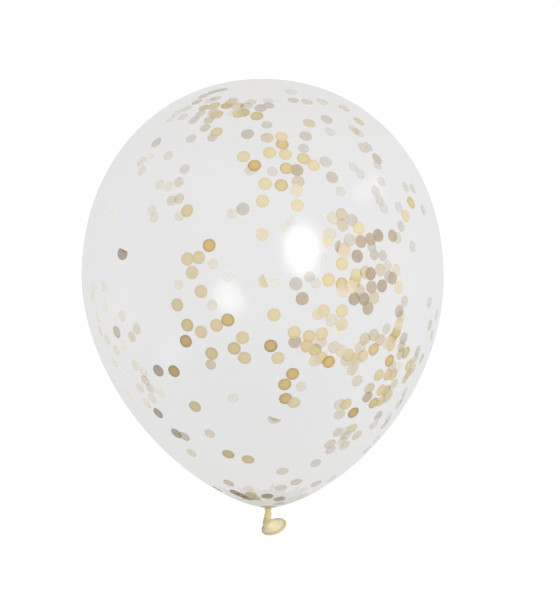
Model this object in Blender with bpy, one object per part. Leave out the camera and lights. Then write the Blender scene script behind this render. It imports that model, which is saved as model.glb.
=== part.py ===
"""A round latex balloon, blown up, tied off with an overhand knot and lying on its side.

The crown points along +Y and the knot along -Y, with +Z up. The origin is the middle of the
small flat that the balloon lies on. Lengths are in metres and angles in degrees.
"""
import math

import bmesh
import bpy
from mathutils import Vector

# Blown-up envelope, measured from its widest ring
BELLY_RADIUS = 0.1475
CROWN_RISE = 0.162
TAPER_LENGTH = 0.1877
CROWN_POWER = 2.1       # 2 makes the crown an ellipse, and more makes it fuller
TAPER_POWER = 1.86      # how late the taper leaves the belly
TAPER_SHARPNESS = 0.65  # 0.5 rounds the end of the taper, and 1 makes it a cone
REST_DEPTH = 0.0012     # how far the latex flattens where it lies

# Lean of the taper, which sets the neck a little aside of the crown
NECK_ASIDE = 0.0052
LEAN_POWER = 1.2        # 1 leans evenly from the widest ring, and more leans later

# Neck, gathered in between the envelope and the knot
NECK_TOP_RADIUS = 0.0037
PINCH_RADIUS = 0.0021
PINCH_DROP = 0.0038

# Overhand knot: two turns of the rolled-up neck, which lean against each other
STRAND_RADIUS = 0.0015
TURN_RADIUS = 0.0017
TURN_SPACING = 0.0036
UPPER_TURN_LEAN = 18.0
LOWER_TURN_LEAN = -26.0

# Tail, which leaves the knot and opens into the mouth
TAIL_LENGTH = 0.0106
TAIL_SIDE_STEP = 0.0016  # how far off the neck's line the mouth's own axis passes the knot
TAIL_SWING = 20.0       # of that axis, sideways from straight down, seen from above
TAIL_DROP = 26.5        # downwards from level
TAIL_BOW = 0.0034       # how far the tail bows off the mouth's axis
BOW_AT_KNOT = 0.62      # share of that bow where the tail leaves the knot
TAIL_ROOT_RADIUS = 0.0026
TAIL_WALL = 0.0007
TAIL_FLARE = 2.4        # 1 makes a cone, and more opens it late like a trumpet
THROAT_DEPTH = 0.0062   # from the mouth's rim to the bottom of its hollow

# Mouth, with the bead that its edge is rolled into
MOUTH_RADIUS = 0.00985
BEAD_RADIUS = 0.00095

# Fineness of the facets
ENVELOPE_SIDES = 64
CROWN_RINGS = 17
TAPER_RINGS = 19
NECK_RINGS = 4
TURN_SIDES = 28
STRAND_SIDES = 12
TAIL_SIDES = 36
FLARE_RINGS = 7
BEAD_SIDES = 10
MERGE_DISTANCE = 1e-6

# Latex as it looks with air behind it
LATEX_COLOUR = (0.88, 0.87, 0.84, 1.0)
LATEX_ROUGHNESS = 0.18
LATEX_ALPHA = 0.35

AXIS_HEIGHT = BELLY_RADIUS - REST_DEPTH
PINCH_STATION = -TAPER_LENGTH - PINCH_DROP
KNOT_STATION = PINCH_STATION - STRAND_RADIUS - TURN_SPACING / 2


def clear_objects():
    for found in list(bpy.data.objects):
        bpy.data.objects.remove(found, do_unlink=True)


def latex():
    material = bpy.data.materials.new("clear_latex")
    material.use_nodes = True
    shader = material.node_tree.nodes["Principled BSDF"]
    shader.inputs["Base Color"].default_value = LATEX_COLOUR
    shader.inputs["Roughness"].default_value = LATEX_ROUGHNESS
    shader.inputs["Metallic"].default_value = 0.0
    shader.inputs["Alpha"].default_value = LATEX_ALPHA
    return material


def steps(count):
    """Even shares from 0 to 1, both ends included."""
    return [index / count for index in range(count + 1)]


def crown_profile():
    """A superellipse, from the pole of the crown down to the widest ring."""
    profile = []
    for share in steps(CROWN_RINGS):
        turn = math.pi / 2 * share
        radius = BELLY_RADIUS * math.sin(turn) ** (2 / CROWN_POWER)
        height = CROWN_RISE * abs(math.cos(turn)) ** (2 / CROWN_POWER)
        profile.append((radius, height))
    profile[0] = (0.0, CROWN_RISE)
    profile[-1] = (BELLY_RADIUS, 0.0)
    return profile


def taper_profile():
    """From the widest ring to where the envelope has narrowed to the neck."""
    neck_share = (NECK_TOP_RADIUS / BELLY_RADIUS) ** (0.5 / TAPER_SHARPNESS)
    last_turn = math.acos(neck_share)
    profile = []
    for share in steps(TAPER_RINGS)[1:]:
        turn = last_turn * share
        radius = BELLY_RADIUS * math.cos(turn) ** (2 * TAPER_SHARPNESS)
        height = -TAPER_LENGTH * math.sin(turn) ** (2 / TAPER_POWER)
        profile.append((radius, height))
    return profile


def neck_profile(top):
    """A hollow curve in from the envelope to the pinch, then on through the knot."""
    profile = []
    for share in steps(NECK_RINGS)[1:]:
        turn = math.pi / 2 * share
        radius = PINCH_RADIUS + (NECK_TOP_RADIUS - PINCH_RADIUS) * (1 - math.sin(turn))
        height = top + (PINCH_STATION - top) * (1 - math.cos(turn))
        profile.append((radius, height))
    core_end = KNOT_STATION - TURN_SPACING / 2
    return profile + [(PINCH_RADIUS, core_end), (0.0, core_end)]


def flare_radius(height, inset):
    """Radius of the tail at a height above the middle of the knot."""
    opening = (MOUTH_RADIUS - TAIL_ROOT_RADIUS) * (height / TAIL_LENGTH) ** TAIL_FLARE
    return TAIL_ROOT_RADIUS - inset + opening


def tail_profile():
    """Up the outside of the tail, round the bead, and down to the throat."""
    outside = []
    inside = []
    throat = TAIL_LENGTH - THROAT_DEPTH
    for share in steps(FLARE_RINGS)[:-1]:
        height = TAIL_LENGTH * share
        outside.append((flare_radius(height, 0.0), height))
        height = TAIL_LENGTH - THROAT_DEPTH * share
        inside.append((flare_radius(height, TAIL_WALL), height))
    bead = []
    for share in steps(BEAD_SIDES)[1:-1]:
        turn = -math.pi / 2 + 2 * math.pi * share
        radius = MOUTH_RADIUS + BEAD_RADIUS * math.cos(turn)
        bead.append((radius, TAIL_LENGTH + BEAD_RADIUS * math.sin(turn)))
    return [(0.0, 0.0)] + outside + bead + inside[1:] + [(0.0, throat)]


def aside(height):
    """How far the envelope stands aside of the crown's axis, at a height on that axis."""
    share = min(1.0, max(0.0, -height / TAPER_LENGTH))
    return NECK_ASIDE * share ** LEAN_POWER


def bow(share):
    """How far the tail stands off the mouth's axis, at a share of its length."""
    share = min(1.0, max(0.0, share))
    return TAIL_BOW * (BOW_AT_KNOT + 2 * share) * (1 - share ** 2) ** 2


def turned(name, profile, sides):
    """A closed body turned round its own Z axis from (radius, height) pairs."""
    shape = bmesh.new()
    points = [shape.verts.new((radius, 0.0, height)) for radius, height in profile]
    edges = [shape.edges.new(pair) for pair in zip(points, points[1:])]
    bmesh.ops.spin(shape, geom=points + edges, cent=(0, 0, 0), axis=(0, 0, 1),
                   angle=2 * math.pi, steps=sides)
    bmesh.ops.remove_doubles(shape, verts=shape.verts, dist=MERGE_DISTANCE)
    bmesh.ops.recalc_face_normals(shape, faces=shape.faces)
    mesh = bpy.data.meshes.new(name)
    shape.to_mesh(mesh)
    shape.free()
    mesh.shade_smooth()
    body = bpy.data.objects.new(name, mesh)
    bpy.context.collection.objects.link(body)
    return body


def combine(body, tool, operation):
    """Join a guide to the body, or cut the body with it, and hide the guide."""
    step = body.modifiers.new(tool.name, "BOOLEAN")
    step.operation = operation
    step.solver = "EXACT"
    step.object = tool
    tool.hide_render = True
    tool.display_type = "WIRE"


def axis_frame():
    """The balloon's axis: its own Z runs along +Y of the world."""
    frame = bpy.data.objects.new("balloon_axis", None)
    frame.location = (0.0, 0.0, AXIS_HEIGHT)
    frame.rotation_euler = (math.radians(-90), 0.0, 0.0)
    bpy.context.collection.objects.link(frame)
    return frame


def add_envelope(frame):
    taper = taper_profile()
    profile = crown_profile() + taper + neck_profile(taper[-1][1])
    balloon = turned("balloon", profile, ENVELOPE_SIDES)
    for vertex in balloon.data.vertices:
        vertex.co.x += aside(vertex.co.z)
    balloon.parent = frame
    return balloon


def add_knot_turn(frame, name, station, lean):
    bpy.ops.mesh.primitive_torus_add(
        major_radius=TURN_RADIUS, minor_radius=STRAND_RADIUS,
        major_segments=TURN_SIDES, minor_segments=STRAND_SIDES)
    turn = bpy.context.object
    turn.name = name
    turn.data.shade_smooth()
    turn.parent = frame
    turn.location = (NECK_ASIDE, 0.0, station)
    turn.rotation_euler = (0.0, math.radians(lean), 0.0)
    return turn


def add_tail(frame):
    """In the axis frame, -Z runs down the neck and +Y points at the floor."""
    swing = math.radians(TAIL_SWING)
    drop = math.radians(TAIL_DROP)
    level = math.cos(drop)
    direction = Vector((level * math.sin(swing), math.sin(drop), -level * math.cos(swing)))
    facing = direction.to_track_quat("Z", "Y")
    back = facing.inverted() @ Vector((-math.cos(swing), 0.0, -math.sin(swing)))
    tail = turned("tail", tail_profile(), TAIL_SIDES)
    for vertex in tail.data.vertices:
        vertex.co += back * bow(vertex.co.z / TAIL_LENGTH)
    tail.parent = frame
    tail.location = (NECK_ASIDE + TAIL_SIDE_STEP, 0.0, KNOT_STATION)
    tail.rotation_euler = facing.to_euler()
    return tail


def add_floor():
    """The level that flattens the latex under the balloon."""
    bpy.ops.mesh.primitive_cube_add(size=BELLY_RADIUS)
    floor = bpy.context.object
    floor.name = "floor_level"
    floor.location = (0.0, 0.0, -BELLY_RADIUS / 2)
    return floor


def build():
    clear_objects()
    frame = axis_frame()
    balloon = add_envelope(frame)
    upper = add_knot_turn(frame, "upper_turn", KNOT_STATION + TURN_SPACING / 2, UPPER_TURN_LEAN)
    lower = add_knot_turn(frame, "lower_turn", KNOT_STATION - TURN_SPACING / 2, LOWER_TURN_LEAN)
    combine(balloon, upper, "UNION")
    combine(balloon, lower, "UNION")
    combine(balloon, add_tail(frame), "UNION")
    combine(balloon, add_floor(), "DIFFERENCE")
    balloon.data.materials.append(latex())


build()
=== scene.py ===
"""The looks of a clear confetti balloon that lies on its side, seen from straight above.

Lengths are in metres. The balloon's axis runs along Y, with the crown at +Y.
"""
import math
import random

import bpy
from mathutils import Matrix, Vector
from mathutils.bvhtree import BVHTree


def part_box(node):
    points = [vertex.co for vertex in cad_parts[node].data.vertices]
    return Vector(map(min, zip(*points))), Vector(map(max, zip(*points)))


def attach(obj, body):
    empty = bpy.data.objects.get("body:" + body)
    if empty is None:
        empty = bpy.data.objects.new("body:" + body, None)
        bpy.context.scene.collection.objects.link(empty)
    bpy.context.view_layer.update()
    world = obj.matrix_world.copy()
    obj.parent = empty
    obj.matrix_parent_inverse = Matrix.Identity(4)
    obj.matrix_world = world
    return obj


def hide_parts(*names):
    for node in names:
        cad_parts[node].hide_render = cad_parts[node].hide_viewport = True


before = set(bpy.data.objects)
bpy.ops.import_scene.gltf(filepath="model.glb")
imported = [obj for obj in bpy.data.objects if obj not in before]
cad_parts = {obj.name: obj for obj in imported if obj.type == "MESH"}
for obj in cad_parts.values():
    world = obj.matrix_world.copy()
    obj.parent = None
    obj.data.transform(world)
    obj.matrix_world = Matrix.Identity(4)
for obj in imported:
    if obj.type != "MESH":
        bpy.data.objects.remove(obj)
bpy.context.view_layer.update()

# The studio: a pale floor with a glow of its own, a camera that looks straight down, a broad
# soft key light and a faint strip. The balloon's own numbers come from the frame, and the
# camera's distance from how much larger the near confetti looks than the far confetti.
low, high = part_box("balloon")
BELLY_RADIUS = (high.x - low.x) / 2
AXIS_HEIGHT = high.z - BELLY_RADIUS
CROWN_STATION = high.y
VIEW_DISTANCE = 1.4         # from the camera to the balloon's axis
VIEW_HEIGHT = 0.49924       # how much the picture takes in there, from top to bottom
VIEW_CENTRE = (0.01418, -0.02168)
VIEW_ROLL = 0.26
LENS_SENSOR = 36.0
FLOOR_SIZE = 60.0
FLOOR_DROP = 0.0003         # below the spot that the balloon lies on
FLOOR_TONE = 0.08
FLOOR_ROUGHNESS = 0.9
FLOOR_GLOW = 1.0
MIRRORED_GLOW = 0.05        # the floor's glow as the balloon's gloss shows it
KEY_FROM = (0.40, 0.20, 0.895)
KEY_DISTANCE = 2.0
KEY_SIZE = (0.77, 0.75)
KEY_TURN = -18.0
KEY_POWER = 28.6
STRIP_FROM = (0.82, 0.56, 0.08)
STRIP_DISTANCE = 1.5
STRIP_SIZE = (0.16, 0.9)
STRIP_POWER = 2.0
ROOM_STRENGTH = 0.7
MIRRORED_ROOM = 0.15        # the room's light as the gloss shows it


def add_camera():
    lens = bpy.data.cameras.new("camera")
    lens.sensor_width = LENS_SENSOR
    lens.lens = LENS_SENSOR * VIEW_DISTANCE / VIEW_HEIGHT
    camera = bpy.data.objects.new("camera", lens)
    camera.location = (*VIEW_CENTRE, AXIS_HEIGHT + VIEW_DISTANCE)
    camera.rotation_euler = (0.0, 0.0, math.radians(VIEW_ROLL))
    bpy.context.collection.objects.link(camera)
    bpy.context.scene.camera = camera


def node_material(name):
    """A new material, with its node tree and its shader."""
    material = bpy.data.materials.new(name)
    material.use_nodes = True
    return material, material.node_tree, material.node_tree.nodes["Principled BSDF"]


def changed_for(tree, kind_of_ray, change):
    """Adds a change to the strength in its third input, in what one kind of ray sees."""
    ray = tree.nodes.new("ShaderNodeLightPath")
    strength = tree.nodes.new("ShaderNodeMath")
    strength.operation = "MULTIPLY_ADD"
    strength.inputs[1].default_value = change
    tree.links.new(ray.outputs[kind_of_ray], strength.inputs[0])
    return strength


def add_floor():
    bpy.ops.mesh.primitive_plane_add(size=FLOOR_SIZE, location=(0, 0, -FLOOR_DROP))
    floor = bpy.context.object
    floor.name = "floor"
    material, tree, shader = node_material("pale_floor")
    shader.inputs["Base Color"].default_value = (FLOOR_TONE, FLOOR_TONE, FLOOR_TONE, 1.0)
    shader.inputs["Roughness"].default_value = FLOOR_ROUGHNESS
    shader.inputs["Specular IOR Level"].default_value = 0.0
    shader.inputs["Emission Color"].default_value = (1.0, 1.0, 1.0, 1.0)
    glow = changed_for(tree, "Is Glossy Ray", MIRRORED_GLOW - FLOOR_GLOW)
    glow.inputs[2].default_value = FLOOR_GLOW
    tree.links.new(glow.outputs["Value"], shader.inputs["Emission Strength"])
    floor.data.materials.append(material)


def add_soft_light(name, shape, size, turn, power, direction, distance):
    """A soft light that faces the balloon and that the camera doesn't see."""
    light = bpy.data.lights.new(name, "AREA")
    light.shape = shape
    light.size, light.size_y = size
    light.energy = power
    lamp = bpy.data.objects.new(name, light)
    lamp.location = Vector((0.0, 0.0, AXIS_HEIGHT)) + Vector(direction) * distance
    facing = Vector(direction).to_track_quat("Z", "Y").to_matrix()
    lamp.rotation_euler = (facing @ Matrix.Rotation(math.radians(turn), 3, "Z")).to_euler()
    lamp.visible_camera = False
    bpy.context.collection.objects.link(lamp)


def add_room():
    """White where the camera sees past the floor, a dimmer fill light, and dim in gloss."""
    world = bpy.data.worlds.new("room")
    bpy.context.scene.world = world
    world.use_nodes = True
    tree = world.node_tree
    background = tree.nodes["Background"]
    background.inputs["Color"].default_value = (1.0, 1.0, 1.0, 1.0)
    seen = changed_for(tree, "Is Camera Ray", 1.0 - ROOM_STRENGTH)
    seen.inputs[2].default_value = ROOM_STRENGTH
    mirrored = changed_for(tree, "Is Glossy Ray", MIRRORED_ROOM - ROOM_STRENGTH)
    tree.links.new(seen.outputs["Value"], mirrored.inputs[2])
    tree.links.new(mirrored.outputs["Value"], background.inputs["Strength"])


add_camera()
add_floor()
add_soft_light("key", "ELLIPSE", KEY_SIZE, KEY_TURN, KEY_POWER, KEY_FROM, KEY_DISTANCE)
add_soft_light("strip", "RECTANGLE", STRIP_SIZE, 0.0, STRIP_POWER, STRIP_FROM, STRIP_DISTANCE)
add_room()
bpy.context.scene.view_settings.view_transform = "Standard"

# The skin: clear latex, dipped on a form and blown up until it is thin. It is pulled ring by
# ring from the belly to the crown and from the belly to the neck, and pressed level where it
# lies on the floor.
TAPER_LENGTH = 0.1877
CROWN_POWER = 2.1
TAPER_POWER = 1.86
TAPER_SHARPNESS = 0.65
NECK_ASIDE = 0.0052
LEAN_POWER = 1.2
NECK_TOP_RADIUS = 0.0037
SKIN_SIDES = 160
CROWN_RINGS = 64
TAPER_RINGS = 72
CLOSING_STEP = 0.0001       # from the taper's last ring to the point that closes it
TINY = 1e-6                 # nearer to a line than this counts as on it
SKIN_ALPHA = 0.18
LATEX_IOR = 1.52
# From the end of the taper, at 0, to the top of the crown, at 1. Yellower at the very ends, where
# the latex is thicker, and darker grey towards both ends as painted shade for the skin's darker
# edges there
SKIN_TINTS_AND_SHADE = [
    (0.0, (0.10, 0.05, 0.0)), (0.02, (0.11, 0.06, 0.0)), (0.06, (0.12, 0.10, 0.06)),
    (0.18, (0.13, 0.13, 0.13)), (0.45, (0.20, 0.20, 0.20)), (0.75, (0.21, 0.21, 0.21)),
    (0.90, (0.13, 0.12, 0.11)), (1.0, (0.09, 0.06, 0.03)),
]


def crown_rings(count):
    rings = []
    for index in range(count):
        turn = math.pi / 2 * index / count
        radius = BELLY_RADIUS * math.cos(turn) ** (2 / CROWN_POWER)
        station = CROWN_STATION * math.sin(turn) ** (2 / CROWN_POWER)
        rings.append((radius, station))
    return rings


def taper_rings(count):
    last_turn = math.acos((NECK_TOP_RADIUS / BELLY_RADIUS) ** (0.5 / TAPER_SHARPNESS))
    rings = []
    for index in range(count + 1):
        turn = last_turn * index / count
        radius = BELLY_RADIUS * math.cos(turn) ** (2 * TAPER_SHARPNESS)
        station = -TAPER_LENGTH * math.sin(turn) ** (2 / TAPER_POWER)
        rings.append((radius, station))
    return rings


def aside(station):
    """How far the taper leans aside of the crown's axis, at a place along that axis."""
    return NECK_ASIDE * min(1.0, max(0.0, -station / TAPER_LENGTH)) ** LEAN_POWER


def pull_rings(rings):
    """Extrudes the selected ring along the axis, through each (radius, station)."""
    for (radius, station), (next_radius, next_station) in zip(rings, rings[1:]):
        step = (aside(next_station) - aside(station), next_station - station, 0)
        bpy.ops.mesh.extrude_region_move(TRANSFORM_OT_translate={"value": step})
        grow = next_radius / radius
        bpy.ops.transform.resize(value=(grow, 1, grow), center_override=(
            aside(next_station), next_station, AXIS_HEIGHT))


def select_where(piece, test):
    """Selects the vertices whose place passes the test, in edit mode."""
    bpy.ops.mesh.select_all(action="DESELECT")
    bpy.ops.object.mode_set(mode="OBJECT")
    for vertex in piece.data.vertices:
        vertex.select = test(vertex.co)
    bpy.ops.object.mode_set(mode="EDIT")


def add_skin():
    bpy.ops.object.select_all(action="DESELECT")
    bpy.ops.mesh.primitive_circle_add(vertices=SKIN_SIDES, radius=BELLY_RADIUS,
                                      location=(0, 0, AXIS_HEIGHT), rotation=(math.pi / 2, 0, 0))
    skin = bpy.context.object
    skin.name = "skin"
    bpy.ops.object.transform_apply(location=True, rotation=True)
    bpy.ops.object.mode_set(mode="EDIT")
    bpy.ops.mesh.select_mode(type="VERT")
    bpy.ops.mesh.select_all(action="SELECT")
    rings = crown_rings(CROWN_RINGS)
    pull_rings(rings)
    bpy.ops.mesh.extrude_region_move(
        TRANSFORM_OT_translate={"value": (0, CROWN_STATION - rings[-1][1], 0)})
    bpy.ops.mesh.merge(type="CENTER")
    select_where(skin, lambda place: abs(place.y) < TINY)
    pull_rings(taper_rings(TAPER_RINGS))
    bpy.ops.mesh.extrude_region_move(TRANSFORM_OT_translate={"value": (0, -CLOSING_STEP, 0)})
    bpy.ops.mesh.merge(type="CENTER")
    select_where(skin, lambda place: place.z < 0.0)
    bpy.ops.transform.resize(value=(1, 1, 0), center_override=(0, 0, 0))
    bpy.ops.mesh.select_all(action="SELECT")
    bpy.ops.mesh.normals_make_consistent(inside=False)
    bpy.ops.object.mode_set(mode="OBJECT")
    bpy.ops.object.shade_smooth()
    return skin


def noise(tree, scale, detail, distortion=0.0):
    """A cloudy share from 0 to 1, fixed to the piece's own places."""
    place = tree.nodes.new("ShaderNodeTexCoord")
    cloud = tree.nodes.new("ShaderNodeTexNoise")
    cloud.inputs["Scale"].default_value = scale
    cloud.inputs["Detail"].default_value = detail
    cloud.inputs["Distortion"].default_value = distortion
    tree.links.new(place.outputs["Object"], cloud.inputs["Vector"])
    return cloud.outputs["Fac"]


def ramp(tree, share, stops):
    """Colours at shares from 0 to 1, in rising order, blended in between."""
    node = tree.nodes.new("ShaderNodeValToRGB")
    elements = node.color_ramp.elements
    for element, (position, colour) in zip(elements, (stops[0], stops[-1])):
        element.position = position
        element.color = (*colour, 1.0)
    for position, colour in stops[1:-1]:
        elements.new(position).color = (*colour, 1.0)
    tree.links.new(share, node.inputs["Fac"])
    return node.outputs["Color"]


def between(tree, share, least, most):
    """Spreads a share from 0 to 1 over a range."""
    node = tree.nodes.new("ShaderNodeMapRange")
    node.inputs["To Min"].default_value = least
    node.inputs["To Max"].default_value = most
    tree.links.new(share, node.inputs["Value"])
    return node.outputs["Result"]


def shaded(tree, colour, factor):
    """A colour made darker or lighter by a factor round 1."""
    node = tree.nodes.new("ShaderNodeVectorMath")
    node.operation = "SCALE"
    tree.links.new(colour, node.inputs["Vector"])
    tree.links.new(factor, node.inputs["Scale"])
    return node.outputs["Vector"]


def clear_latex():
    """Clear in the middle, a little yellower where the latex is thicker at both ends, and darker
    towards both ends as painted shade.
    """
    material, tree, shader = node_material("clear_latex")
    place = tree.nodes.new("ShaderNodeTexCoord")
    axes = tree.nodes.new("ShaderNodeSeparateXYZ")
    tree.links.new(place.outputs["Object"], axes.inputs["Vector"])
    reach = tree.nodes.new("ShaderNodeMapRange")
    reach.inputs["From Min"].default_value = -TAPER_LENGTH
    reach.inputs["From Max"].default_value = CROWN_STATION
    tree.links.new(axes.outputs["Y"], reach.inputs["Value"])
    tint = ramp(tree, reach.outputs["Result"], SKIN_TINTS_AND_SHADE)
    cloud = noise(tree, scale=14.0, detail=3.0)
    tint = shaded(tree, tint, between(tree, cloud, 0.8, 1.2))
    tree.links.new(tint, shader.inputs["Base Color"])
    tree.links.new(between(tree, cloud, 0.15, 0.23), shader.inputs["Roughness"])
    shader.inputs["IOR"].default_value = LATEX_IOR
    shader.inputs["Specular IOR Level"].default_value = 1.0
    shader.inputs["Alpha"].default_value = SKIN_ALPHA
    return material


skin = add_skin()
skin.data.materials.append(clear_latex())
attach(skin, "root")
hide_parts("balloon")

# Pleats: a collar of thicker, yellower latex round the neck, where the gathered end was
# stretched least. It is drawn out over the skin ring by ring, and its edge is then pulled in
# to soft lobes, one to each pleat.
PLEATS = 9
PLEAT_SIDES = 360
PLEAT_RINGS = 18
PLEAT_START = 0.0004        # how much wider than the neck the collar's inner ring is
PLEAT_REACH = 0.044
PLEAT_LIFT = 0.00005        # off the skin, towards the neck
PLEAT_THICKNESS = 0.0001
PLEAT_ALPHA = 0.06
LOBES_MIDDLE = 0.80         # share of the reach that the lobes go in and out about
LOBES = [(0.08, PLEATS, 0), (0.06, 23, 1), (0.04, 41, 2)]  # depth, count and start of each
PLEAT_TINTS = [(0.35, (0.32, 0.22, 0.02)), (0.65, (0.38, 0.28, 0.05))]


def skin_station(radius):
    """Place along the taper where the envelope has a radius."""
    share = math.sqrt(1.0 - (radius / BELLY_RADIUS) ** (1 / TAPER_SHARPNESS))
    return -TAPER_LENGTH * share ** (2 / TAPER_POWER)


def add_pleats():
    bpy.ops.object.select_all(action="DESELECT")
    radii = [NECK_TOP_RADIUS + PLEAT_START + (PLEAT_REACH - NECK_TOP_RADIUS) * step / PLEAT_RINGS
             for step in range(PLEAT_RINGS + 1)]
    rings = [(radius, skin_station(radius)) for radius in radii]
    bpy.ops.mesh.primitive_circle_add(vertices=PLEAT_SIDES, radius=radii[0],
                                      location=(aside(rings[0][1]), rings[0][1], AXIS_HEIGHT),
                                      rotation=(math.pi / 2, 0, 0))
    pleats = bpy.context.object
    pleats.name = "pleats"
    bpy.ops.object.transform_apply(location=True, rotation=True)
    bpy.ops.object.mode_set(mode="EDIT")
    bpy.ops.mesh.select_mode(type="VERT")
    bpy.ops.mesh.select_all(action="SELECT")
    pull_rings(rings)
    bpy.ops.object.mode_set(mode="OBJECT")
    for vertex in pleats.data.vertices:
        across = vertex.co.x - aside(vertex.co.y)
        up = vertex.co.z - AXIS_HEIGHT
        angle = math.atan2(across, up)
        reach = LOBES_MIDDLE
        for depth, count, start in LOBES:
            reach += depth * math.sin(count * angle + start)
        radius = radii[0] + (math.hypot(across, up) - radii[0]) * reach
        station = skin_station(radius)
        vertex.co = (aside(station) + radius * math.sin(angle), station - PLEAT_LIFT,
                     AXIS_HEIGHT + radius * math.cos(angle))
    bpy.ops.object.mode_set(mode="EDIT")
    bpy.ops.mesh.select_all(action="SELECT")
    bpy.ops.mesh.normals_make_consistent(inside=False)
    bpy.ops.object.mode_set(mode="OBJECT")
    sheet = pleats.modifiers.new("sheet", "SOLIDIFY")
    sheet.thickness = PLEAT_THICKNESS
    sheet.offset = 0.0
    bpy.ops.object.modifier_apply(modifier=sheet.name)
    bpy.ops.object.shade_smooth()
    return pleats


def pleat_latex():
    """Yellower and duller than the skin, and so thin that it is a haze."""
    material, tree, shader = node_material("pleat_latex")
    cloud = noise(tree, scale=220.0, detail=2.0)
    tree.links.new(ramp(tree, cloud, PLEAT_TINTS), shader.inputs["Base Color"])
    tree.links.new(between(tree, cloud, 0.55, 0.75), shader.inputs["Roughness"])
    shader.inputs["Specular IOR Level"].default_value = 0.05
    shader.inputs["Alpha"].default_value = PLEAT_ALPHA
    return material


pleats = add_pleats()
pleats.data.materials.append(pleat_latex())
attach(pleats, "root")

# Neck, knot, tail and mouth: the unstretched end of the same dipped latex, gathered in
# pleats, tied in an overhand knot, and opening again to a mouth whose edge is rolled to a bead.
# Each length is modelled by itself, and a fine remesh then grows them into one skin.
NECK_START = -0.1869
PINCH_STATION = -0.1915
PINCH_RADIUS = 0.0021
NECK_SIDES = 72
SLEEVE_RINGS = 7            # rings that cover the end of the skin
SLEEVE_STEP = 0.0001
SLEEVE_GAP = 0.0002         # how far they stand off it
GATHER_START = -0.1871      # where the pleats in the neck begin
GATHER_WIDTH = 0.13         # share of a pleat that is pulled out or in
RIDGE_GROW = 1.10
GROOVE_GROW = 0.88
STRAND_RADIUS = 0.0015
TURN_RADIUS = 0.0017
TURN_SPACING = 0.0036
TURN_SIDES = 48
STRAND_SIDES = 24
KNOT_STATION = PINCH_STATION - STRAND_RADIUS - TURN_SPACING / 2
UPPER_TURN_LEAN = 18.0
LOWER_TURN_LEAN = -26.0
TAIL_SIDE_STEP = 0.0016     # how far off the neck's line the mouth's own axis passes the knot
TAIL_START = Vector((NECK_ASIDE + TAIL_SIDE_STEP, KNOT_STATION, AXIS_HEIGHT))
TAIL_AXIS = Vector((0.3061, -0.8410, -0.4462)).normalized()
TAIL_BACK = Vector((-0.9397, -0.3420, 0.0))
TAIL_BOW = 0.0034
BOW_AT_KNOT = 0.62
TAIL_LENGTH = 0.0106
TAIL_ROOT_RADIUS = 0.0026
TAIL_FLARE = 2.4
TAIL_WALL = 0.0007
TAIL_RINGS = 16
MOUTH_RADIUS = 0.00985
BEAD_RADIUS = 0.00095
MOUTH_SIDES = 96
BEAD_SIDES = 20
KNOT_VOXEL = 0.00021
EASE_FACTOR = 0.5
EASE_ROUNDS = 5
# Thickness of the latex, which sets its colour: 0 would be the thinnest film, and 1 a lump
THICK_BEAD = 0.9
BEAD_FADE = 0.5             # lost for each bead radius past the bead
BEAD_SPREAD = 1.3           # in bead radii from the middle of the bead
THICK_FILM = 0.1
THICK_TAIL = 0.6
TAIL_FADE = 0.5             # lost over the length below, from a height up the tail
TAIL_FADE_LENGTH = 0.003
TAIL_FADE_FROM = 0.0045
TAIL_CORE = 0.7             # share of the tail's root that still counts as knot
THICK_KNOT = 0.65
KNOT_ABOVE = 0.0035         # how far the knot reaches from its middle, each way along the axis
KNOT_BELOW = 0.001
THICK_PINCH = 0.75
THICK_NECK = 0.3
PINCH_FADE_LENGTH = 0.012
NECK_TINTS = [
    (0.05, (0.62, 0.60, 0.46)), (0.4, (0.71, 0.62, 0.40)), (0.65, (0.64, 0.53, 0.29)),
    (0.9, (0.55, 0.48, 0.30)),
]


def skin_radius(station):
    """Radius of the envelope at a place along its taper."""
    share = min(1.0, -station / TAPER_LENGTH) ** (TAPER_POWER / 2)
    return BELLY_RADIUS * max(1e-9, 1.0 - share * share) ** TAPER_SHARPNESS


def grow_ring(along, grow, middle):
    """Extrudes the selected ring by a step, and then widens or narrows it."""
    bpy.ops.mesh.extrude_region_move(TRANSFORM_OT_translate={"value": along})
    bpy.ops.transform.resize(value=grow, center_override=middle)


def on_pleat(place, share):
    """Whether a place in the neck is at the same share of a pleat, counted round the axis."""
    turn = math.atan2(place.x - NECK_ASIDE, place.z - AXIS_HEIGHT) / math.tau * PLEATS
    return place.y < GATHER_START and abs((turn % 1.0) - share) < GATHER_WIDTH


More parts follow.
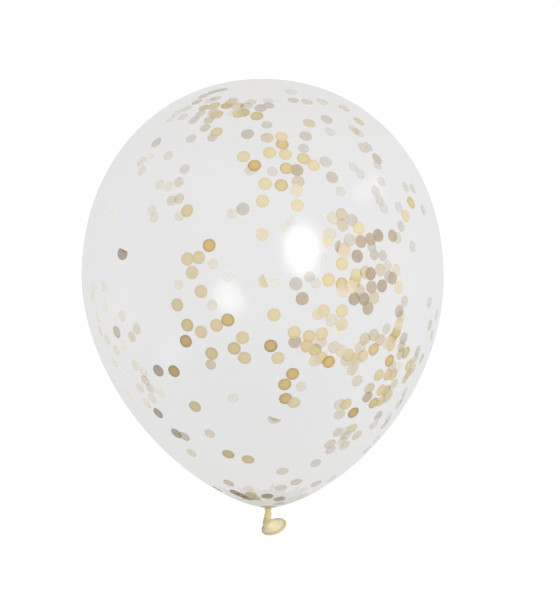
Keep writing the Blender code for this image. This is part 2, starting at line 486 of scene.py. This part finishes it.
def add_pleated_neck():
    bpy.ops.object.select_all(action="DESELECT")
    start = skin_radius(NECK_START) + SLEEVE_GAP / 2
    bpy.ops.mesh.primitive_circle_add(vertices=NECK_SIDES, radius=start, fill_type="NGON",
                                      location=(NECK_ASIDE, NECK_START, AXIS_HEIGHT),
                                      rotation=(math.pi / 2, 0, 0))
    neck = bpy.context.object
    bpy.ops.object.transform_apply(location=True, rotation=True)
    bpy.ops.object.mode_set(mode="EDIT")
    bpy.ops.mesh.select_mode(type="VERT")
    bpy.ops.mesh.select_all(action="SELECT")
    stations = [NECK_START - SLEEVE_STEP * step for step in range(1, SLEEVE_RINGS + 1)]
    radii = [skin_radius(station) + SLEEVE_GAP for station in stations]
    for share in (0.25, 0.5, 0.75, 1.0):
        stations.append(-TAPER_LENGTH + (PINCH_STATION + TAPER_LENGTH) * share)
        radii.append(PINCH_RADIUS + (NECK_TOP_RADIUS - PINCH_RADIUS) * (1 - share) ** 2)
    stations.append(KNOT_STATION)
    radii.append(PINCH_RADIUS)
    before, last = start, NECK_START
    for station, radius in zip(stations, radii):
        grow = radius / before
        grow_ring((0, station - last, 0), (grow, 1, grow), (NECK_ASIDE, station, AXIS_HEIGHT))
        before, last = radius, station
    bpy.ops.mesh.edge_face_add()
    for share, grow in ((0.5, RIDGE_GROW), (0.0, GROOVE_GROW)):
        select_where(neck, lambda place: on_pleat(place, share))
        bpy.ops.transform.resize(value=(grow, 1, grow),
                                 center_override=(NECK_ASIDE, PINCH_STATION, AXIS_HEIGHT))
    bpy.ops.object.mode_set(mode="OBJECT")
    return neck


def add_turn(station, lean):
    bpy.ops.object.select_all(action="DESELECT")
    bpy.ops.mesh.primitive_torus_add(
        major_radius=TURN_RADIUS, minor_radius=STRAND_RADIUS, major_segments=TURN_SIDES,
        minor_segments=STRAND_SIDES, location=(NECK_ASIDE, station, AXIS_HEIGHT),
        rotation=(math.pi / 2, 0, math.radians(lean)))
    bpy.ops.object.transform_apply(location=True, rotation=True)
    return bpy.context.object


def bow(share):
    """How far the tail stands off the mouth's own axis, at a share of its length."""
    share = min(1.0, max(0.0, share))
    return TAIL_BOW * (BOW_AT_KNOT + 2 * share) * (1 - share ** 2) ** 2


def join(pieces):
    """Makes one object of the pieces, which keeps the first one's name."""
    bpy.ops.object.select_all(action="DESELECT")
    for piece in pieces:
        piece.select_set(True)
    bpy.context.view_layer.objects.active = pieces[0]
    bpy.ops.object.join()


def add_tail():
    """The trumpet from the knot to the mouth, made upright and then leant over."""
    lean = TAIL_AXIS.to_track_quat("Z", "Y")
    back = lean.inverted() @ TAIL_BACK
    middle = back * bow(0.0)
    bpy.ops.object.select_all(action="DESELECT")
    bpy.ops.mesh.primitive_uv_sphere_add(segments=32, ring_count=16, radius=TAIL_ROOT_RADIUS,
                                         location=middle)
    root = bpy.context.object
    bpy.ops.object.select_all(action="DESELECT")
    bpy.ops.mesh.primitive_circle_add(vertices=NECK_SIDES, radius=TAIL_ROOT_RADIUS,
                                      location=middle)
    tail = bpy.context.object
    bpy.ops.object.transform_apply(location=True)
    bpy.ops.object.mode_set(mode="EDIT")
    bpy.ops.mesh.select_mode(type="VERT")
    bpy.ops.mesh.select_all(action="SELECT")
    before = TAIL_ROOT_RADIUS
    for step in range(1, TAIL_RINGS + 1):
        share = step / TAIL_RINGS
        radius = TAIL_ROOT_RADIUS + (MOUTH_RADIUS - TAIL_ROOT_RADIUS) * share ** TAIL_FLARE
        last, middle = middle, back * bow(share) + Vector((0, 0, TAIL_LENGTH * share))
        grow_ring(middle - last, (radius / before, radius / before, 1), middle)
        before = radius
    bpy.ops.object.mode_set(mode="OBJECT")
    wall = tail.modifiers.new("wall", "SOLIDIFY")
    wall.thickness = TAIL_WALL
    wall.offset = -1.0
    bpy.ops.object.modifier_apply(modifier=wall.name)
    bpy.ops.object.select_all(action="DESELECT")
    bpy.ops.mesh.primitive_torus_add(
        major_radius=MOUTH_RADIUS, minor_radius=BEAD_RADIUS, major_segments=MOUTH_SIDES,
        minor_segments=BEAD_SIDES, location=(0, 0, TAIL_LENGTH))
    join([tail, bpy.context.object, root])
    tail.rotation_euler = lean.to_euler()
    tail.location = TAIL_START
    bpy.ops.object.transform_apply(location=True, rotation=True)
    return tail


def add_neck_and_knot():
    neck = add_pleated_neck()
    upper_turn = add_turn(KNOT_STATION + TURN_SPACING / 2, UPPER_TURN_LEAN)
    lower_turn = add_turn(KNOT_STATION - TURN_SPACING / 2, LOWER_TURN_LEAN)
    join([neck, upper_turn, lower_turn, add_tail()])
    neck.name = "neck_and_knot"
    grown = neck.modifiers.new("grown", "REMESH")
    grown.mode = "VOXEL"
    grown.voxel_size = KNOT_VOXEL
    bpy.ops.object.modifier_apply(modifier=grown.name)
    eased = neck.modifiers.new("eased", "SMOOTH")
    eased.factor = EASE_FACTOR
    eased.iterations = EASE_ROUNDS
    bpy.ops.object.modifier_apply(modifier=eased.name)
    bpy.ops.object.shade_smooth()
    return neck


def latex_thickness(place):
    """How thick the latex is, from 0 in the trumpet's film to 1 in the thickest."""
    offset = place - TAIL_START
    height = offset.dot(TAIL_AXIS)
    offset -= TAIL_AXIS * height + TAIL_BACK * bow(height / TAIL_LENGTH)
    spread = offset.length
    to_bead = math.hypot(height - TAIL_LENGTH, spread - MOUTH_RADIUS)
    bead = THICK_BEAD - BEAD_FADE * max(0.0, to_bead / BEAD_RADIUS - BEAD_SPREAD)
    if place.y < KNOT_STATION - KNOT_BELOW and spread > TAIL_ROOT_RADIUS * TAIL_CORE:
        tail = THICK_TAIL - TAIL_FADE * (height - TAIL_FADE_FROM) / TAIL_FADE_LENGTH
        return max(bead, THICK_FILM, tail)
    if place.y < KNOT_STATION + KNOT_ABOVE:
        return THICK_KNOT
    return max(THICK_NECK, THICK_PINCH - abs(place.y - PINCH_STATION) / PINCH_FADE_LENGTH)


def own_value(tree, name):
    """What a piece's own attribute says at each point."""
    node = tree.nodes.new("ShaderNodeAttribute")
    node.attribute_name = name
    return node.outputs["Fac"]


def raised(tree, height, strength, distance):
    """A surface bumped up and down by a share from 0 to 1."""
    node = tree.nodes.new("ShaderNodeBump")
    node.inputs["Strength"].default_value = strength
    node.inputs["Distance"].default_value = distance
    tree.links.new(height, node.inputs["Height"])
    return node.outputs["Normal"]


def neck_latex():
    """Milky latex, yellower where it is thick, finely crinkled and a little see-through."""
    material, tree, shader = node_material("neck_latex")
    tint = ramp(tree, own_value(tree, "thickness"), NECK_TINTS)
    cloud = noise(tree, scale=450.0, detail=3.0)
    tint = shaded(tree, tint, between(tree, cloud, 0.92, 1.08))
    crinkle = raised(tree, cloud, strength=0.3, distance=0.0002)
    tree.links.new(tint, shader.inputs["Base Color"])
    tree.links.new(between(tree, cloud, 0.25, 0.4), shader.inputs["Roughness"])
    tree.links.new(crinkle, shader.inputs["Normal"])
    shader.inputs["Subsurface Weight"].default_value = 0.5
    shader.inputs["Subsurface Radius"].default_value = (1.0, 0.75, 0.5)
    shader.inputs["Subsurface Scale"].default_value = 0.002
    return material


neck = add_neck_and_knot()
thickness = neck.data.attributes.new("thickness", "FLOAT", "POINT")
thickness.data.foreach_set("value", [latex_thickness(v.co) for v in neck.data.vertices])
neck.data.materials.append(neck_latex())
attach(neck, "root")

# Gold confetti: round discs punched from thin gold tissue, which cling flat to the inside of
# the skin all round. Each place is in millimetres, round the belly from the top and then
# along the axis from the widest ring. Discs that overlap lie on one another.
DISC_RADIUS = 0.005
DISC_THICKNESS = 0.0001
DISC_SIDES = 18
RIM_WIDTH = 0.45            # share of the radius
DISH = 0.00006              # how far the middle stands out of the rim
CLING_GAP = 0.0003
LAYER_STEP = 0.00018
DISC_TILT = 1.5
FOLD_ANGLE = 165.0
SMOOTH_ANGLE = 40.0
GRADES = {"pale": 0.0, "light": 0.25, "full": 0.5, "vivid": 0.75, "deep": 1.0}
TONE_SPREAD = 0.07
GOLD_TONES = {
    "pale": (0.84, 0.735, 0.54), "light": (0.84, 0.71, 0.40), "full": (0.77, 0.62, 0.27),
    "vivid": (0.77, 0.53, 0.12), "deep": (0.68, 0.46, 0.12),
}
GOLD_COVER = 0.68
GOLD_EDGE = 0.45            # how much darker the rim of a deep disc is
GOLD_PLACES = {
    "pale": [
        (1, 30), (28, 63), (64, 17), (70, -8), (44, -28), (45, -63), (-42, 135), (51, 26),
        (107, -117), (-59, 126), (63, -11), (116, -8), (64, -36), (67, -56), (81, -66), (112, -50),
        (121, -36), (122, -30), (156, -78), (164, -72), (-31, 131), (139, -92), (-22, -176),
        (-342, 145),
    ],
    "light": [
        (-46, 109), (-59, 48), (-47, -42), (-34, -37), (-45, -12), (-65, -22), (-56, 12), (-47, 13),
        (-52, 2), (-14, -46), (-13, -61), (-66, -99), (-18, -141), (14, -61), (31, -95), (10, -29),
        (19, 105), (7, 92), (21, 91), (45, 83), (3, 68), (1, 55), (28, 52), (-16, 89), (48, -26),
        (37, -52), (50, -61), (-64, 132), (-53, 124), (-27, 124), (-31, -173), (78, 36), (64, 20),
        (62, 9), (51, -3), (74, 1), (131, 47), (26, -42), (38, -45), (48, -43), (63, -26),
        (74, -59), (82, -62), (88, -60), (117, -52), (112, -75), (124, -75), (132, -75), (152, -68),
        (159, -75), (123, -87), (130, -96), (85, -97),
    ],
    "full": [
        (-58, -37), (-40, -58), (-21, -54), (19, 99), (37, 88), (21, 80), (16, 67), (-44, -137),
        (-46, 132), (-22, 125), (-6, 122), (62, -6), (73, -4), (144, 58), (44, -55), (98, -55),
        (117, -47), (120, -42), (140, -58), (132, -88), (120, -97),
    ],
    "vivid": [
        (57, -64), (27, -73), (21, -81), (23, -92), (-25, -33), (-39, 22), (-6, 82), (120, -64),
    ],
    "deep": [
        (-61, -49), (-78, -72), (8, -52), (98, -104),
    ],
}
# Place and grade, crease as a share of the radius, turns about the disc's own Z, X and Y in
# degrees, and how far it stands off the skin in millimetres
GOLD_FOLDS = [(3, -4, "pale", 0.2, 23, 0, 0, 1.0)]

chance = random.Random(11)
skin_surface = BVHTree.FromObject(skin, bpy.context.evaluated_depsgraph_get())
laid = []


def punch_disc():
    """One disc, slightly dished as cut tissue is, with its rim marked."""
    bpy.ops.object.select_all(action="DESELECT")
    bpy.ops.mesh.primitive_cylinder_add(vertices=DISC_SIDES, radius=DISC_RADIUS,
                                        depth=DISC_THICKNESS, end_fill_type="NGON")
    disc = bpy.context.object
    bpy.ops.object.mode_set(mode="EDIT")
    bpy.ops.mesh.select_mode(type="FACE")
    bpy.ops.mesh.select_all(action="DESELECT")
    bpy.ops.object.mode_set(mode="OBJECT")
    for face in disc.data.polygons:
        face.select = abs(face.normal.z) > 0.5
    bpy.ops.object.mode_set(mode="EDIT")
    bpy.ops.mesh.inset(thickness=DISC_RADIUS * RIM_WIDTH)
    bpy.ops.transform.translate(value=(0, 0, DISH))
    bpy.ops.object.mode_set(mode="OBJECT")
    rim = disc.data.attributes.new("rim", "FLOAT", "POINT")
    for vertex, mark in zip(disc.data.vertices, rim.data):
        mark.value = 1.0 if vertex.co.xy.length > DISC_RADIUS * (1 - RIM_WIDTH / 2) else 0.0
    return disc


def at_skin(around, along):
    """Where a line from the axis meets the skin, and the skin's own directions there."""
    turn = around / 1000 / BELLY_RADIUS
    outward = Vector((math.sin(turn), 0.0, math.cos(turn)))
    centre = Vector((0.0, along / 1000, AXIS_HEIGHT))
    place, normal = skin_surface.ray_cast(centre, outward)[:2]
    if normal.dot(outward) < 0:
        normal = -normal
    up = normal.cross(Vector((math.cos(turn), 0.0, -math.sin(turn)))).normalized()
    return place, Matrix((up.cross(normal), up, normal)).transposed()


def copy_disc(pattern, grade):
    """A disc with its own mesh, and a tone of its own near that of its grade."""
    disc = pattern.copy()
    disc.data = pattern.data.copy()
    bpy.context.collection.objects.link(disc)
    tone = disc.data.attributes.new("tone", "FLOAT", "POINT")
    value = min(1.0, max(0.0, GRADES[grade] + chance.uniform(-TONE_SPREAD, TONE_SPREAD)))
    tone.data.foreach_set("value", [value] * len(disc.data.vertices))
    return disc


def lay_disc(pattern, around, along, grade):
    """A disc that clings flat to the skin, or to the discs that are there already."""
    place, facing = at_skin(around, along)
    below = {layer for other, layer in laid if (other - place).length < DISC_RADIUS * 2}
    layer = min(set(range(len(below) + 1)) - below)
    laid.append((place, layer))
    disc = copy_disc(pattern, grade)
    spin = Matrix.Rotation(chance.uniform(0, math.tau), 3, "Z")
    tilt = Matrix.Rotation(math.radians(chance.uniform(-DISC_TILT, DISC_TILT)), 3, "X")
    disc.matrix_world = (facing @ tilt @ spin).to_4x4()
    disc.location = place - facing.col[2] * (CLING_GAP + LAYER_STEP * layer)
    return disc


def fold_disc(pattern, around, along, grade, crease, spin, twist, lift, sink):
    """A disc folded over itself at a share of its radius, which stands off the skin."""
    disc = copy_disc(pattern, grade)
    line = Vector((DISC_RADIUS * crease, 0.0, 0.0))
    bpy.ops.object.select_all(action="DESELECT")
    disc.select_set(True)
    bpy.context.view_layer.objects.active = disc
    bpy.ops.object.mode_set(mode="EDIT")
    bpy.ops.mesh.select_all(action="SELECT")
    bpy.ops.mesh.bisect(plane_co=line, plane_no=(1, 0, 0))
    bpy.ops.object.mode_set(mode="OBJECT")
    over = Matrix.Rotation(math.radians(FOLD_ANGLE), 3, "Y")
    for vertex in disc.data.vertices:
        if vertex.co.x > line.x + TINY:
            vertex.co = over @ (vertex.co - line) + line
    place, skin_facing = at_skin(around, along)
    facing = skin_facing
    for axis, angle in (("Z", spin), ("X", twist), ("Y", lift)):
        facing = facing @ Matrix.Rotation(math.radians(angle), 3, axis)
    disc.matrix_world = facing.to_4x4()
    disc.location = place - skin_facing.col[2] * sink / 1000
    return disc


def lay_confetti(name, places, folds):
    """All the discs of one tissue, as one object."""
    pattern = punch_disc()
    discs = []
    for grade, spots in places.items():
        for around, along in spots:
            discs.append(lay_disc(pattern, around, along, grade))
    for fold in folds:
        discs.append(fold_disc(pattern, *fold))
    bpy.data.objects.remove(pattern, do_unlink=True)
    join(discs)
    bpy.ops.object.transform_apply(location=True, rotation=True, scale=True)
    bpy.ops.object.shade_smooth_by_angle(angle=math.radians(SMOOTH_ANGLE))
    discs[0].name = name
    return discs[0]


def tissue(name, tones, cover, edge):
    """Thin paper: its tone runs from disc to disc, with a fine fibre in colour and height.
    The deeper the tone, the darker the rim."""
    material, tree, shader = node_material(name)
    tone = own_value(tree, "tone")
    tint = ramp(tree, tone, [(GRADES[grade], colour) for grade, colour in tones.items()])
    fibre = noise(tree, scale=900.0, detail=3.0, distortion=1.5)
    deep_rim = tree.nodes.new("ShaderNodeMath")
    deep_rim.operation = "MULTIPLY"
    tree.links.new(own_value(tree, "rim"), deep_rim.inputs[0])
    tree.links.new(tone, deep_rim.inputs[1])
    shade = tree.nodes.new("ShaderNodeMath")
    shade.operation = "MULTIPLY_ADD"
    shade.inputs[1].default_value = -edge
    tree.links.new(deep_rim.outputs["Value"], shade.inputs[0])
    tree.links.new(between(tree, fibre, 0.93, 1.07), shade.inputs[2])
    tint = shaded(tree, tint, shade.outputs["Value"])
    tree.links.new(tint, shader.inputs["Base Color"])
    tree.links.new(between(tree, fibre, 0.52, 0.68), shader.inputs["Roughness"])
    tooth = raised(tree, fibre, strength=0.12, distance=0.00005)
    tree.links.new(tooth, shader.inputs["Normal"])
    shader.inputs["Specular IOR Level"].default_value = 0.15
    shader.inputs["Alpha"].default_value = cover
    return material


gold = lay_confetti("gold_confetti", GOLD_PLACES, GOLD_FOLDS)
gold.data.materials.append(tissue("gold_confetti", GOLD_TONES, GOLD_COVER, GOLD_EDGE))
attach(gold, "root")

# Champagne confetti: the same discs, punched from a paler tissue that is nearly the colour of
# the latex, so that they show as faint rounds. Most of them cling to the far side.
CHAMPAGNE_TONES = {
    "pale": (0.95, 0.91, 0.82), "light": (0.87, 0.80, 0.65), "full": (0.70, 0.60, 0.39),
    "deep": (0.62, 0.47, 0.20),
}
CHAMPAGNE_COVER = 0.35
CHAMPAGNE_PLACES = {
    "pale": [
        (-407, 143), (266, -115), (368, 128), (359, 99), (353, 93), (384, 79), (328, 85), (336, 63),
        (315, 63), (291, 79), (277, 77), (443, 49), (438, 54), (-293, 139), (-296, 134),
        (-389, 152), (323, 99), (270, 59), (305, 29), (-314, 105), (-430, 4), (-269, 61),
        (-292, 56), (-272, 24), (-281, -79), (-271, -98), (453, -2), (410, 20), (274, -19),
        (248, -29), (265, -94), (259, -99), (248, -132), (248, -141), (261, -104), (250, -46),
        (258, -165), (454, 152),
    ],
    "light": [
        (111, 134), (100, -119), (103, -127), (34, -55), (63, -40), (134, -70), (157, -65),
        (88, -182), (321, 114), (-305, 100), (-302, 143), (394, 152), (264, -38), (337, -42),
        (262, -121), (455, 97), (341, 78), (339, 70), (-432, 60), (-318, 137), (318, 47),
        (-314, 93), (-343, 107), (-347, 83), (-359, 82), (-346, 61), (-351, 55), (-379, 57),
        (-416, 15), (-383, -4), (-415, -22), (-305, -57), (-428, -104), (-290, -7), (-270, -7),
        (-263, -15), (-288, -25), (-268, -34), (-266, -44), (-276, -52), (-288, -61), (-321, -80),
        (-300, -106), (-312, -74), (-334, -98), (-273, -71), (341, 13), (416, -2), (318, -18),
        (277, -60), (259, -66), (422, -94), (280, -69), (-433, 151), (-334, 150), (-340, 152),
        (325, 37), (276, -66),
    ],
    "full": [
        (112, -131), (87, -129), (-114, 103), (62, 136), (88, 137), (120, 133), (105, 114),
        (109, 112), (82, -105), (122, -123), (-20, 131), (69, -161), (56, 43), (53, 31), (113, 5),
        (55, -33), (48, -49), (60, -53), (73, -63), (81, -70), (84, -53), (126, -69), (139, -83),
        (138, -94), (89, -79), (78, -97), (-9, 79), (-323, -147), (-305, 148), (-375, 131),
        (-370, 86), (-367, 70), (-375, 72), (-330, -43), (-321, -50), (-383, -133), (-318, -87),
        (356, 23), (296, -115), (-373, 137), (-393, 124),
    ],
    "deep": [
        (64, 46), (106, -85), (-135, -43), (-98, -124), (5, 104), (30, 70), (51, 117), (124, 122),
        (64, 38), (77, -11), (91, -16), (82, 3), (96, 5), (87, -47), (95, -44), (103, -48),
        (131, -53), (133, -59), (-408, -75),
    ],
}
CHAMPAGNE_FOLDS = [(14, -108, "full", 0.2, 70, 0, -5, 0.8)]

champagne = lay_confetti("champagne_confetti", CHAMPAGNE_PLACES, CHAMPAGNE_FOLDS)
champagne.data.materials.append(
    tissue("champagne_confetti", CHAMPAGNE_TONES, CHAMPAGNE_COVER, edge=0.0))
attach(champagne, "root")

# Taupe confetti: the same discs in a grey-brown tissue, the darkest of the three. One hangs
# folded at the left, and another stands nearly on edge inside the skin.
TAUPE_TONES = {
    "pale": (0.84, 0.78, 0.69), "light": (0.60, 0.53, 0.44), "full": (0.51, 0.38, 0.20),
    "deep": (0.43, 0.31, 0.16),
}
TAUPE_COVER = 0.52
TAUPE_PLACES = {
    "pale": [
        (47, 145), (123, -164), (34, -151), (43, -166), (141, -115), (104, -123), (-321, -94),
        (460, 135), (-347, 141), (-363, 122), (455, 149), (-303, -93), (353, -131), (358, -156),
        (415, 116), (-372, 97), (-313, -32), (422, 4), (358, 30), (-295, 155), (-291, 152),
        (-306, 157), (346, 22), (-316, -102), (-414, -176), (347, -145), (-346, 136),
    ],
    "light": [
        (69, 27), (105, 0), (43, 106), (75, 121), (57, 86), (60, 74), (-14, 107), (-14, 49),
        (104, 99), (116, 91), (26, -6), (73, 42), (-2, 129), (63, -177), (119, -26), (131, -47),
        (-353, -171), (-237, -173),
    ],
    "full": [
        (79, 26), (108, -92), (-120, -106), (-109, -122), (30, 79), (31, -17), (-52, -177),
        (88, 28), (111, 31), (109, -1), (88, -8), (27, -49), (86, -24), (-67, -174),
    ],
    "deep": [
        (-95, -72), (-81, -172), (18, -174), (96, 31), (75, 15), (87, 2), (98, -7), (73, -17),
        (82, -17),
    ],
}
TAUPE_FOLDS = [
    (-120, 17, "deep", 0.6, 69, 12, 0, 1.4), (61, 22, "pale", 0.1, 0, 0, -60, 1.2),
]

taupe = lay_confetti("taupe_confetti", TAUPE_PLACES, TAUPE_FOLDS)
taupe.data.materials.append(tissue("taupe_confetti", TAUPE_TONES, TAUPE_COVER, edge=0.0))
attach(taupe, "root")
